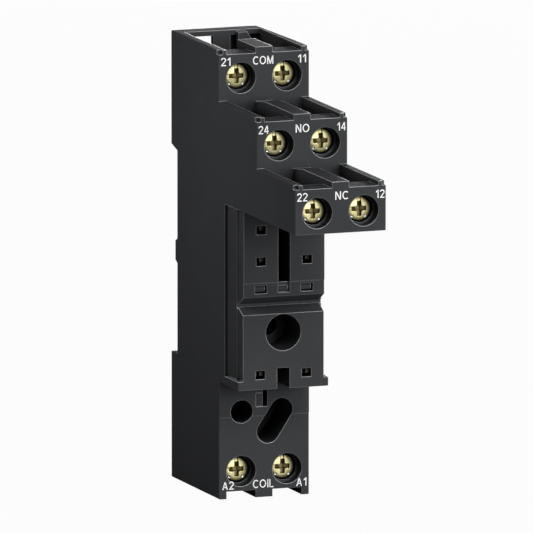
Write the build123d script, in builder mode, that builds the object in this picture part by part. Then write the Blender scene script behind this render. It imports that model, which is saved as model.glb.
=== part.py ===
from build123d import *
import os

os.makedirs("parts", exist_ok=True)

# Plug-in relay socket for a 35 mm rail. All sizes in millimetres.
# X runs across the width, -Y is the front, +Z is up. The origin is the middle of
# the rail seat: the face that lies on the rail, on the rail's centre line.
# Depths are counted forward from the rear plane, levels up from the bottom.

# Housing, overall
width = 16.6
height = 78.5
side_wall = 1.4
partition = 3.1
right_draft = 0.9
edge_radius = 0.25

# Rail seat
rail_width = 35.0
rail_thickness = 1.0
rail_play = 0.7
rail_recess_depth = 3.0
rail_centre_level = 40.4
rail_lip_overlap = 1.1
rail_lip_play = 0.25
recess_lead = 0.8
rear_boss_low = 38.0
rear_boss_high = 42.5
rear_boss_proud = 1.0
rear_boss_slope = 0.5

# Terminal tiers, the rear one first
tier_depths = [24.3, 43.4, 62.5]
tier_thickness = 8.6
tier_wall = 1.2
tier_apron = 2.1
rim_drop = 0.75
post_width = 0.65
post_notch_length = 1.0
partition_dip = 0.6
partition_dip_length = 4.6
partition_rise = 0.3
rear_floor_depth = 14.0

# Rear end of the top, above the first tier's clamps
beam_depth = 3.0
beam_height = 0.9
stop_left = 2.6
stop_width = 1.6
stop_slant = 1.7
stop_height = 3.0
stop_depth = 1.3
stop_drop = 0.3
partition_cut_drop = 5.0
partition_cut_depth = 15.3

# Coil end
coil_depth = 24.3
coil_strip_step = 0.12
coil_strip_level = 14.2
coil_rim_drop = 1.3

# Terminal clamp, counted rearward from the face that the screw is driven from
screw_drop = 4.95
coil_screw_level = 4.75
access_radius = 2.7
access_depth = 2.0
head_bore_radius = 2.35
block_depth = 4.75
head_recess = 2.2
head_radius = 2.06
head_height = 2.0
head_chamfer = 0.3
cross_length = 2.6
cross_width = 0.62
cross_depth = 1.1
cross_taper = 8
shank_radius = 1.45
shank_chamfer = 0.3
tongue_recess = 10.7
tip_clearance = 0.05
thread_clearance = 0.07
cage_sheet = 0.7
cage_side_clearance = 0.275
cage_height = 4.0
cage_low = 1.6
cage_corner = 0.6
cage_inner_corner = 0.15
cage_front_recess = 7.4
cage_clearance = 0.2
wire_space = 3.0

# Contact strips
strip_sheet = 0.7
strip_side_clearance = 0.2
strip_gap = 0.6
strip_bend_radius = 0.5
tongue_rise = 2.2
fork_shoulder = 0.25
fork_length = 5.5
fork_slot = 0.5
fork_slot_length = 4.0
fork_clearance = 0.1
leg_recess = 14.9
leg_shoulder = 1.2
shaft_play = 1.2
front_leg_depth = 24.1
passing_gap = 1.5

# Relay seat
seat_depth = 34.4
seat_step = 0.15
seat_step_level = 39.3
seat_step_slope = 0.1
lower_seat_drop = 0.4
seat_headroom = 3.7
seat_side_recess = 0.6
seat_side_depth = 27.3
seat_edge_recess = 0.3
seat_edge_depth = 31.9
seat_wall = 1.2
groove_drop = 2.75
groove_top = 36.8
groove_floor_top = 35.3
groove_floor_low = 34.8
groove_low = 33.7
flange_low = 20.6
flange_high = 22.15
upper_row_level = 48.5
middle_row_level = 43.0
lower_row_level = 38.1
coil_row_level = 23.15
pin_hole_width = 1.75
pin_hole_height = 1.5
window_width = 2.2
window_height = 1.35
window_bar_radius = 0.6
window_bar_gap = 0.25
window_bar_setback = 0.25
key_slot_filler = 0.45
key_slot_filler_setback = 0.5
key_slot_width = 2.15
key_slot_depth = 6.0
notch_width = 2.3
notch_top = 24.2
notch_depth = 8.0
chamber_half_height = 1.4
chamber_half_width = 2.1
chamber_rear = 25.4
chamber_mouth_depth = 29.4

# Panel screw hole
panel_hole_level = 30.4
panel_hole_radius = 1.7
counterbore_radius = 3.2
counterbore_depth = 8.0
panel_boss_radius = 3.4
boss_clearance = 0.1
core_front = 24.4
core_wall = 1.2

# Coil end openings, as places across the front (X) and levels
module_hole_radius = 2.03
module_hole_place = (-4.15, 15.2)
module_depth = 8.0
module_slot_radius = 2.07
module_slot_upper = (3.15, 15.15)
module_slot_lower = (0.75, 11.45)
test_hole_place = (-0.5, 17.5)
test_hole_width = 2.1
test_hole_height = 3.2
test_hole_depth = 6.0
test_corner_width = 1.25
test_corner_height = 0.75
test_block_width = 1.35
test_block_gap = 0.12
test_block_setback = 0.3

# Back cover
cover_sheet = 1.5
cover_setback = 0.2
cover_clearance = 0.1
cover_web_level = 60.3
cover_left_top = 72.5
hook_window_play = 0.2
foot_bed = 0.2
cover_bottom = 0.3
hook_inset = 1.5
hook_lead = 0.6

# Rail foot and its spring
foot_clearance = 0.15
foot_thickness = 2.5
foot_flange_depth = 1.4
foot_lip_width = 0.85
foot_lip_inset = 0.5
foot_lead = 0.4
foot_bottom = 0.6
foot_top_clearance = 0.3
foot_travel = 2.6
foot_window_width = 2.6
foot_window_low = 7.75
peg_height = 1.0
peg_clearance = 0.4
peg_stop_clearance = 0.05
spring_radius = 0.85
spring_wire = 0.33
spring_turns = 6
spring_closed_length = 5.6
driver_slot_low = 1.7
driver_slot_high = 3.6
driver_slot_width = 4.6

# Cuts run past the solid, and joined pieces run a little into each other
past = 1.0
joint_overlap = 0.05

channel_inner = partition / 2
channel_outer = width / 2 - side_wall
channel_width = channel_outer - channel_inner
column_offset = (channel_outer + channel_inner) / 2
rail_low = rail_centre_level - rail_width / 2
rail_high = rail_centre_level + rail_width / 2
recess_low = rail_low - rail_play
recess_high = rail_high + rail_play
lip_depth = rail_recess_depth - rail_thickness - rail_lip_play
seat_half = width / 2 - seat_side_recess
plate_half = seat_half - seat_edge_recess
row_levels = [upper_row_level, middle_row_level, lower_row_level]
lower_seat_depth = seat_depth - lower_seat_drop
tier_underside = upper_row_level + seat_headroom
front_tier_top = tier_underside + tier_thickness
tier_tops = [height, (height + front_tier_top) / 2, front_tier_top]
tongue_rear = tongue_recess + strip_sheet
cage_width = channel_width - 2 * cage_side_clearance
cage_length = tongue_rear + wire_space + cage_sheet - cage_front_recess
strip_width = cage_width - 2 * (cage_sheet + strip_side_clearance)
strip_leg_width = (strip_width - strip_gap) / 2
fork_width = strip_width - 2 * fork_shoulder
block_rears = [depth - block_depth for depth in tier_depths]
screw_levels = [top - screw_drop for top in tier_tops]
shelf_drop = cage_low + cage_clearance + strip_sheet
floor_levels = [level - shelf_drop for level in screw_levels]
coil_ceiling = coil_screw_level + shelf_drop
shaft_front = leg_recess - shaft_play
window_bar_depth = seat_depth - seat_step - window_bar_setback - window_bar_radius
cover_front = rail_recess_depth + cover_sheet
cover_half = channel_outer - cover_clearance


def y_at(depth):
    """Place along Y of a plane that lies depth in front of the rear plane."""
    return rail_recess_depth - depth


def z_at(level):
    """Place along Z of a level counted from the bottom."""
    return level - rail_centre_level


def at(depth, level):
    """A point of a side view sketch."""
    return (y_at(depth), z_at(level))


def front_plane(depth):
    """A sketch plane that faces the front, with X across and Y up."""
    return Plane.XZ.offset(-y_at(depth))


# Housing: one moulding, drawn as a side view and hollowed column by column
with BuildPart() as housing:
    with BuildSketch(Plane.YZ):
        with BuildLine():
            Polyline(
                at(0, 0),
                at(0, recess_low),
                at(rail_recess_depth, recess_low),
                at(rail_recess_depth, rear_boss_low),
                at(rail_recess_depth - rear_boss_proud, rear_boss_low + rear_boss_slope),
                at(rail_recess_depth - rear_boss_proud, rear_boss_high - rear_boss_slope),
                at(rail_recess_depth, rear_boss_high),
                at(rail_recess_depth, recess_high - recess_lead),
                at(0, recess_high),
                at(0, height),
                at(tier_depths[0], tier_tops[0]),
                at(tier_depths[0], tier_tops[1]),
                at(tier_depths[1], tier_tops[1]),
                at(tier_depths[1], tier_tops[2]),
                at(tier_depths[2], tier_tops[2]),
                at(tier_depths[2], tier_underside),
                at(seat_depth, tier_underside),
                at(seat_depth, seat_step_level),
                at(seat_depth - seat_step, seat_step_level - seat_step_slope),
                at(seat_depth - seat_step, groove_top),
                at(seat_depth - groove_drop, groove_floor_top),
                at(seat_depth - groove_drop, groove_floor_low),
                at(lower_seat_depth, groove_low),
                at(lower_seat_depth, flange_low),
                at(coil_depth + coil_strip_step, flange_low),
                at(coil_depth + coil_strip_step, coil_strip_level + coil_strip_step),
                at(coil_depth, coil_strip_level),
                at(coil_depth, 0),
                close=True,
            )
        make_face()
    extrude(amount=width / 2, both=True)
    outer_sides = housing.faces().sort_by(Axis.X)
    fillet(outer_sides[0].edges() + outer_sides[-1].edges(), radius=edge_radius)

    # Draft of the right side, from the rear tier's face back
    with BuildSketch(Plane.XY.offset(z_at(-past))):
        with BuildLine():
            Polyline(
                (width / 2, y_at(tier_depths[0])),
                (width / 2 + past, y_at(tier_depths[0])),
                (width / 2 + past, y_at(0)),
                (width / 2 - right_draft, y_at(0)),
                close=True,
            )
        make_face()
    extrude(amount=height + 2 * past, mode=Mode.SUBTRACT)

    # The seat is narrower than the rest, in two steps, from the flange up to the front tier
    for half, start in [(seat_half, seat_side_depth), (plate_half, seat_edge_depth)]:
        for side in (-1, 1):
            with BuildSketch(Plane.YZ.offset(side * half)):
                with BuildLine():
                    Polyline(
                        at(start, flange_high),
                        at(seat_depth + past, flange_high),
                        at(seat_depth + past, tier_underside),
                        at(start, tier_underside),
                        close=True,
                    )
                make_face()
            extrude(amount=side * (width / 2 - half + past), mode=Mode.SUBTRACT)

    # Upper column hollows: clamp chambers and strip shafts
    for side in (-1, 1):
        with BuildSketch(Plane.YZ.offset(side * column_offset)):
            with BuildLine():
                Polyline(
                    at(-past, row_levels[2] - chamber_half_height),
                    at(seat_side_depth - side_wall, row_levels[2] - chamber_half_height),
                    at(seat_side_depth - side_wall, floor_levels[2]),
                    at(block_rears[2], floor_levels[2]),
                    at(block_rears[2], tier_tops[2] + past),
                    at(tier_depths[1], tier_tops[2] + past),
                    at(tier_depths[1], tier_tops[2] - tier_apron),
                    at(tier_depths[1] - tier_wall, tier_tops[2] - tier_apron),
                    at(tier_depths[1] - tier_wall, floor_levels[1] - tier_wall),
                    at(tier_depths[1] - shaft_front, floor_levels[1] - tier_wall),
                    at(tier_depths[1] - shaft_front, floor_levels[1]),
                    at(block_rears[1], floor_levels[1]),
                    at(block_rears[1], tier_tops[1] + past),
                    at(tier_depths[0], tier_tops[1] + past),
                    at(tier_depths[0], tier_tops[1] - tier_apron),
                    at(tier_depths[0] - tier_wall, tier_tops[1] - tier_apron),
                    at(tier_depths[0] - tier_wall, floor_levels[0] - tier_wall),
                    at(rear_floor_depth, floor_levels[0] - tier_wall),
                    at(rear_floor_depth, floor_levels[0]),
                    at(block_rears[0], floor_levels[0]),
                    at(block_rears[0], tier_tops[0] + past),
                    at(beam_depth, tier_tops[0] + past),
                    at(beam_depth, height - beam_height),
                    at(-past, height - beam_height),
                    close=True,
                )
            make_face()
        extrude(amount=channel_width / 2, both=True, mode=Mode.SUBTRACT)

    # Relay pin chambers behind the seat
    for side in (-1, 1):
        with BuildSketch(Plane.YZ.offset(side * column_offset)):
            with BuildLine():
                Polyline(
                    at(chamber_rear, row_levels[0] - chamber_half_height),
                    at(seat_depth - seat_wall, row_levels[0] - chamber_half_height),
                    at(seat_depth - seat_wall, row_levels[0] + chamber_half_height),
                    at(chamber_mouth_depth, row_levels[0] + chamber_half_height),
                    at(chamber_mouth_depth, floor_levels[2] + joint_overlap),
                    at(chamber_rear, floor_levels[2] + joint_overlap),
                    close=True,
                )
            make_face()
            for row, front in [
                (row_levels[1], seat_depth),
                (row_levels[2], seat_depth),
                (coil_row_level, lower_seat_depth),
            ]:
                with Locations(at((chamber_rear + front - seat_wall) / 2, row)):
                    Rectangle(front - seat_wall - chamber_rear, 2 * chamber_half_height)
        extrude(amount=chamber_half_width, both=True, mode=Mode.SUBTRACT)

    # Lower column hollows: coil clamp chambers, open at the bottom, and strip shafts
    for side in (-1, 1):
        with BuildSketch(Plane.YZ.offset(side * column_offset)):
            with BuildLine():
                Polyline(
                    at(-past, -past),
                    at(coil_depth - block_depth, -past),
                    at(coil_depth - block_depth, coil_ceiling),
                    at(coil_depth - shaft_front, coil_ceiling),
                    at(coil_depth - shaft_front, coil_row_level - chamber_half_height),
                    at(seat_side_depth - side_wall, coil_row_level - chamber_half_height),
                    at(seat_side_depth - side_wall, coil_row_level + chamber_half_height),
                    at(-past, coil_row_level + chamber_half_height),
                    close=True,
                )
            make_face()
        extrude(amount=channel_width / 2, both=True, mode=Mode.SUBTRACT)

    # Cored-out blocks beside the panel screw's boss, open to the rear
    core_low = coil_row_level + chamber_half_height + core_wall
    core_high = row_levels[2] - chamber_half_height - core_wall
    core_inner = panel_boss_radius + core_wall
    for side in (-1, 1):
        with BuildSketch(Plane.YZ.offset(side * (core_inner + channel_outer) / 2)):
            with Locations(at(core_front / 2, (core_low + core_high) / 2)):
                Rectangle(core_front, core_high - core_low)
        extrude(amount=(channel_outer - core_inner) / 2, both=True, mode=Mode.SUBTRACT)

    # Seat for the back cover across both columns, with lips that hold the rail foot
    with BuildSketch(Plane.YZ):
        with BuildLine():
            Polyline(
                at(-past, cover_web_level),
                at(cover_setback + cover_sheet, cover_web_level),
                at(cover_setback + cover_sheet, height - beam_height),
                at(-past, height - beam_height),
                close=True,
            )
        make_face()
        with BuildLine():
            Polyline(
                at(foot_flange_depth, -past),
                at(cover_front, -past),
                at(cover_front, cover_web_level),
                at(-past, cover_web_level),
                at(-past, recess_low),
                at(foot_flange_depth, recess_low),
                close=True,
            )
        make_face()
    extrude(amount=channel_outer, both=True, mode=Mode.SUBTRACT)
    with BuildSketch(Plane.YZ):
        with BuildLine():
            Polyline(
                at(-past, -past),
                at(foot_flange_depth + joint_overlap, -past),
                at(foot_flange_depth + joint_overlap, recess_low + joint_overlap),
                at(-past, recess_low + joint_overlap),
                close=True,
            )
        make_face()
    extrude(amount=channel_outer - foot_lip_width, both=True, mode=Mode.SUBTRACT)

    # Wire mouths: the rim between the side posts and the middle tab sits lower
    mouth_rims = [(depth, top, rim_drop) for depth, top in zip(tier_depths, tier_tops)]
    for face_depth, edge, drop in mouth_rims + [(coil_depth, 0, coil_rim_drop)]:
        for side in (-1, 1):
            mouth_depth = face_depth - (block_depth + joint_overlap - past) / 2
            with Locations((side * column_offset, y_at(mouth_depth), z_at(edge))):
                Box(channel_width, block_depth + joint_overlap + past, 2 * drop, mode=Mode.SUBTRACT)
    for face_depth, top in zip(tier_depths, tier_tops):
        for side in (-1, 1):
            notch_x = side * (width / 2 + past - (side_wall - post_width + past) / 2)
            with Locations((notch_x, y_at(face_depth), z_at(top))):
                Box(side_wall - post_width + past, 2 * post_notch_length, 2 * rim_drop, mode=Mode.SUBTRACT)

    # The partition stands a little above the side walls, dips where it meets the tier
    # behind, and is cut down at the rear
    for behind, front, top in zip([beam_depth] + tier_depths[:2], tier_depths, tier_tops):
        with BuildSketch(Plane.YZ):
            with Locations(at((behind + front) / 2, top + (partition_rise - joint_overlap) / 2)):
                Rectangle(front - behind, partition_rise + joint_overlap)
        extrude(amount=channel_inner, both=True)
    for behind, top in zip(tier_depths[:2], tier_tops[1:]):
        ridge = top + partition_rise
        with BuildSketch(Plane.YZ):
            with BuildLine():
                Polyline(
                    at(behind, ridge - partition_dip),
                    at(behind + partition_dip_length, ridge),
                    at(behind, ridge + past),
                    close=True,
                )
            make_face()
        extrude(amount=channel_inner, both=True, mode=Mode.SUBTRACT)
    cut_low = height - partition_cut_drop
    cut_high = height + partition_rise + past
    with BuildSketch(Plane.YZ):
        with Locations(at((beam_depth + partition_cut_depth) / 2, (cut_low + cut_high) / 2)):
            Rectangle(partition_cut_depth - beam_depth, cut_high - cut_low)
    extrude(amount=channel_inner, both=True, mode=Mode.SUBTRACT)

    # Stop with a slanted side, hung on the rear beam
    stop_top = height - stop_drop
    with BuildSketch(front_plane(beam_depth - joint_overlap)):
        with BuildLine():
            Polyline(
                (stop_left, z_at(stop_top - stop_height)),
                (stop_left + stop_width + stop_slant, z_at(stop_top - stop_height)),
                (stop_left + stop_width, z_at(stop_top)),
                (stop_left, z_at(stop_top)),
                close=True,
            )
        make_face()
    extrude(amount=stop_depth + joint_overlap)

    # Screw access bores, each with a narrower bore for the head behind it
    for face_depth, level in zip(tier_depths + [coil_depth], screw_levels + [coil_screw_level]):
        with BuildSketch(front_plane(face_depth)):
            with Locations((-column_offset, z_at(level)), (column_offset, z_at(level))):
                Circle(access_radius)
        extrude(amount=-access_depth, mode=Mode.SUBTRACT)
        with BuildSketch(front_plane(face_depth)):
            with Locations((-column_offset, z_at(level)), (column_offset, z_at(level))):
                Circle(head_bore_radius)
        extrude(amount=-block_depth - joint_overlap, mode=Mode.SUBTRACT)

    # Relay pin holes in rows, and the key slot between the columns
    with BuildSketch(front_plane(seat_depth + past)):
        for row in row_levels[:2] + [coil_row_level]:
            with Locations((-column_offset, z_at(row)), (column_offset, z_at(row))):
                Rectangle(pin_hole_width, pin_hole_height)
        with Locations((-column_offset, z_at(row_levels[2])), (column_offset, z_at(row_levels[2]))):
            Rectangle(window_width, window_height)
    extrude(amount=-(seat_wall + 2 * past), mode=Mode.SUBTRACT)
    key_slot_low = row_levels[2] - window_height / 2
    with BuildSketch(front_plane(seat_depth + past)):
        with Locations((0, z_at((key_slot_low + tier_underside) / 2))):
            Rectangle(key_slot_width, tier_underside - key_slot_low)
    extrude(amount=-(key_slot_depth + past), mode=Mode.SUBTRACT)

    # Rounded bars in the windows of the third row and at the foot of the key slot, which
    # start at the left edge and leave a gap at the right one
    for middle, opening in [
        (-column_offset, window_width),
        (0, key_slot_width),
        (column_offset, window_width),
    ]:
        with BuildSketch(Plane.YZ.offset(middle - opening / 2 - joint_overlap)):
            with Locations(at(window_bar_depth, row_levels[2])):
                Circle(window_bar_radius)
        extrude(amount=opening - window_bar_gap + joint_overlap)

    # The key slot is filled above its bar, and below it behind the bar's middle
    filler_top = row_levels[2] + window_height / 2 + key_slot_filler
    filler_front = seat_depth - seat_step - key_slot_filler_setback
    filler_low = key_slot_low - joint_overlap
    filler_rear = seat_depth - key_slot_depth - joint_overlap
    with BuildSketch(Plane.YZ):
        with Locations(at((filler_front + filler_rear) / 2, (filler_top + filler_low) / 2)):
            Rectangle(filler_front - filler_rear, filler_top - filler_low)
    extrude(amount=key_slot_width / 2 + joint_overlap, both=True)

    # Notch at the foot of the seat
    with BuildSketch(front_plane(lower_seat_depth + past)):
        with Locations((0, z_at((notch_top + flange_low - past) / 2))):
            Rectangle(notch_width, notch_top - flange_low + past)
    extrude(amount=-(notch_depth + past), mode=Mode.SUBTRACT)

    # Panel screw hole, counterbored, in a boss that reaches the rail seat
    with BuildSketch(front_plane(rail_recess_depth)):
        with Locations((0, z_at(panel_hole_level))):
            Circle(panel_boss_radius)
    extrude(amount=cover_sheet + joint_overlap)
    with BuildSketch(front_plane(lower_seat_depth + past)):
        with Locations((0, z_at(panel_hole_level))):
            Circle(counterbore_radius)
    extrude(amount=-(counterbore_depth + past), mode=Mode.SUBTRACT)
    with BuildSketch(front_plane(lower_seat_depth)):
        with Locations((0, z_at(panel_hole_level))):
            Circle(panel_hole_radius)
    extrude(amount=-(lower_seat_depth + past), mode=Mode.SUBTRACT)

    # Coil end: module hole, slanted slot, and test hole with a small block inside
    strip_front = coil_depth + coil_strip_step
    with BuildSketch(front_plane(strip_front + past)):
        with Locations((module_hole_place[0], z_at(module_hole_place[1]))):
            Circle(module_hole_radius)
        with BuildLine():
            slot_line = Line(
                (module_slot_upper[0], z_at(module_slot_upper[1])),
                (module_slot_lower[0], z_at(module_slot_lower[1])),
            )
        trace(slot_line, 2 * module_slot_radius)
        with Locations(slot_line @ 0, slot_line @ 1):
            Circle(module_slot_radius)
    extrude(amount=-(module_depth + past), mode=Mode.SUBTRACT)
    hole_left = test_hole_place[0] - test_hole_width / 2
    hole_right = hole_left + test_hole_width
    hole_low = test_hole_place[1] - test_hole_height / 2
    hole_high = hole_low + test_hole_height
    corner_low = hole_high - test_corner_height
    with BuildSketch(front_plane(strip_front + past)):
        with BuildLine():
            Polyline(
                (hole_left, z_at(hole_low)),
                (hole_right, z_at(hole_low)),
                (hole_right, z_at(hole_high)),
                (hole_left + test_corner_width, z_at(hole_high)),
                (hole_left + test_corner_width, z_at(corner_low)),
                (hole_left, z_at(corner_low)),
                close=True,
            )
        make_face()
    extrude(amount=-(test_hole_depth + past), mode=Mode.SUBTRACT)
    block_low = hole_low - joint_overlap
    block_high = corner_low - test_block_gap
    block_left = hole_left - joint_overlap
    block_right = hole_left + test_block_width
    with BuildSketch(front_plane(strip_front - test_block_setback)):
        with Locations(((block_left + block_right) / 2, z_at((block_low + block_high) / 2))):
            Rectangle(block_right - block_left, block_high - block_low)
    extrude(amount=-(test_hole_depth - test_block_setback + joint_overlap))
housing.part.label = "housing"
export_step(housing.part, "parts/housing.step")

# Peg that the foot's spring stands on. The window's lower edge stops under it when the
# foot is up, and its upper edge closes the spring when the foot is let down.
peg_level = foot_window_low + peg_stop_clearance
spring_low = peg_level + peg_height
foot_window_high = spring_low + foot_travel + spring_closed_length

# Back cover: keeps the strips in, forms the floor of the rail seat and its fixed hook
with BuildPart() as back_cover:
    with BuildSketch(Plane.YZ):
        with BuildLine():
            Polyline(
                at(rail_recess_depth, cover_bottom),
                at(cover_front, cover_bottom),
                at(cover_front, cover_web_level - cover_clearance),
                at(cover_setback + cover_sheet, cover_web_level - cover_clearance),
                at(cover_setback + cover_sheet, cover_left_top),
                at(cover_setback, cover_left_top),
                at(cover_setback, recess_high),
                at(rail_recess_depth, recess_high),
                close=True,
            )
        make_face()
    extrude(amount=cover_half, both=True)

    # The right column is closed up to the beam
    closed_low = cover_left_top - joint_overlap
    closed_high = height - beam_height - cover_clearance
    closed_inner = channel_inner + cover_clearance
    with BuildSketch(front_plane(cover_setback)):
        with Locations(((closed_inner + cover_half) / 2, z_at((closed_low + closed_high) / 2))):
            Rectangle(cover_half - closed_inner, closed_high - closed_low)
    extrude(amount=cover_sheet)

    # Fixed hook behind the rail's upper edge
    hook_low = rail_high - rail_lip_overlap
    with BuildSketch(Plane.YZ):
        with BuildLine():
            Polyline(
                at(cover_setback, recess_high + joint_overlap),
                at(cover_setback, hook_low + hook_lead),
                at(cover_setback + hook_lead, hook_low),
                at(lip_depth, hook_low),
                at(lip_depth, recess_high + joint_overlap),
                close=True,
            )
        make_face()
    hook_half = cover_half - hook_inset
    extrude(amount=hook_half, both=True)

    # Window through the sheet in front of the hook, which lets the mould's core out
    hook_window_low = hook_low - hook_window_play
    with BuildSketch(front_plane(rail_recess_depth)):
        with Locations((0, z_at((hook_window_low + recess_high) / 2))):
            Rectangle(2 * (hook_half + hook_window_play), recess_high - hook_window_low)
    extrude(amount=cover_sheet, mode=Mode.SUBTRACT)

    # The foot's bed lies lower than the rail seat
    foot_lip_top = rail_low + rail_lip_overlap
    bed_high = foot_lip_top + foot_bed
    with BuildSketch(front_plane(rail_recess_depth)):
        with Locations((0, z_at((cover_bottom - past + bed_high) / 2))):
            Rectangle(2 * (cover_half + past), bed_high - cover_bottom + past)
    extrude(amount=foot_bed, mode=Mode.SUBTRACT)

    # Hole for the panel screw boss, and the spring's peg
    with BuildSketch(front_plane(rail_recess_depth)):
        with Locations((0, z_at(panel_hole_level))):
            Circle(panel_boss_radius + boss_clearance)
    extrude(amount=cover_sheet, mode=Mode.SUBTRACT)
    with BuildSketch(front_plane(rail_recess_depth + foot_bed + joint_overlap)):
        with Locations((0, z_at(peg_level + peg_height / 2))):
            Rectangle(foot_window_width - 2 * peg_clearance, peg_height)
    extrude(amount=-(foot_bed + joint_overlap + foot_thickness - cover_clearance))
back_cover.part.label = "back_cover"
export_step(back_cover.part, "parts/back_cover.step")

# Rail foot: slides down between the lips to let the rail go
foot_front = rail_recess_depth - cover_clearance
foot_rear = foot_front - foot_thickness
foot_half = channel_outer - foot_clearance
foot_stem_half = foot_half - foot_lip_width
flange_rear = foot_flange_depth + foot_clearance
foot_top = rail_low - foot_top_clearance
with BuildPart() as rail_foot:
    with BuildSketch(Plane.XY.offset(z_at(foot_bottom))):
        with BuildLine():
            Polyline(
                (-foot_stem_half, y_at(foot_rear)),
                (foot_stem_half, y_at(foot_rear)),
                (foot_stem_half, y_at(flange_rear)),
                (foot_half, y_at(flange_rear)),
                (foot_half, y_at(foot_front)),
                (-foot_half, y_at(foot_front)),
                (-foot_half, y_at(flange_rear)),
                (-foot_stem_half, y_at(flange_rear)),
                close=True,
            )
        make_face()
    extrude(amount=foot_top - foot_bottom)

    # Lip that goes behind the rail's lower edge, sloped so that the rail snaps in
    with BuildSketch(Plane.YZ):
        with BuildLine():
            Polyline(
                at(foot_rear, foot_top - joint_overlap),
                at(foot_rear, foot_lip_top - foot_lead),
                at(foot_rear + foot_lead, foot_lip_top),
                at(foot_rear + 2 * foot_lead, foot_lip_top),
                at(lip_depth, rail_low + foot_lead),
                at(lip_depth, foot_top - joint_overlap),
                close=True,
            )
        make_face()
    extrude(amount=foot_stem_half - foot_lip_inset, both=True)

    # Window for the spring, and the slot for a screwdriver's blade
    with BuildSketch(front_plane(foot_rear - past)):
        with Locations((0, z_at((foot_window_low + foot_window_high) / 2))):
            Rectangle(foot_window_width, foot_window_high - foot_window_low)
        with Locations((0, z_at((driver_slot_low + driver_slot_high) / 2))):
            Rectangle(driver_slot_width, driver_slot_high - driver_slot_low)
    extrude(amount=foot_thickness + 2 * past, mode=Mode.SUBTRACT)
rail_foot.part.label = "rail_foot"
export_step(rail_foot.part, "parts/rail_foot.step")

# Spring between the cover's peg and the top of the foot's window
spring_rise = foot_window_high - spring_low - spring_wire
spring_depth = foot_rear + foot_thickness / 2
with BuildPart() as foot_spring:
    with BuildLine(Plane((0, y_at(spring_depth), z_at(spring_low + spring_wire / 2)))) as coil:
        Helix(pitch=spring_rise / spring_turns, height=spring_rise, radius=spring_radius)
    with BuildSketch(Plane(origin=coil.line @ 0, z_dir=coil.line % 0)):
        Circle(spring_wire / 2)
    sweep(path=coil.line)
foot_spring.part.label = "foot_spring"
export_step(foot_spring.part, "parts/foot_spring.step")

# Terminals: name, side, depth of the face, level of the screw, direction of the wire
# (1 from above, -1 from below), depth of the strip's leg, and the relay pin it serves
terminals = []
for names, face_depth, level, leg_depth, row in [
    (("21", "11"), tier_depths[0], screw_levels[0], tier_depths[0] - leg_recess, row_levels[1]),
    (("24", "14"), tier_depths[1], screw_levels[1], tier_depths[1] - leg_recess, row_levels[0]),
    (("22", "12"), tier_depths[2], screw_levels[2], front_leg_depth, row_levels[2]),
]:
    for side, name in zip((-1, 1), names):
        terminals.append((name, side, face_depth, level, 1, leg_depth, row))
for side, name in zip((-1, 1), ("a2", "a1")):
    leg_depth = coil_depth - leg_recess
    terminals.append((name, side, coil_depth, coil_screw_level, -1, leg_depth, coil_row_level))

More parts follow.
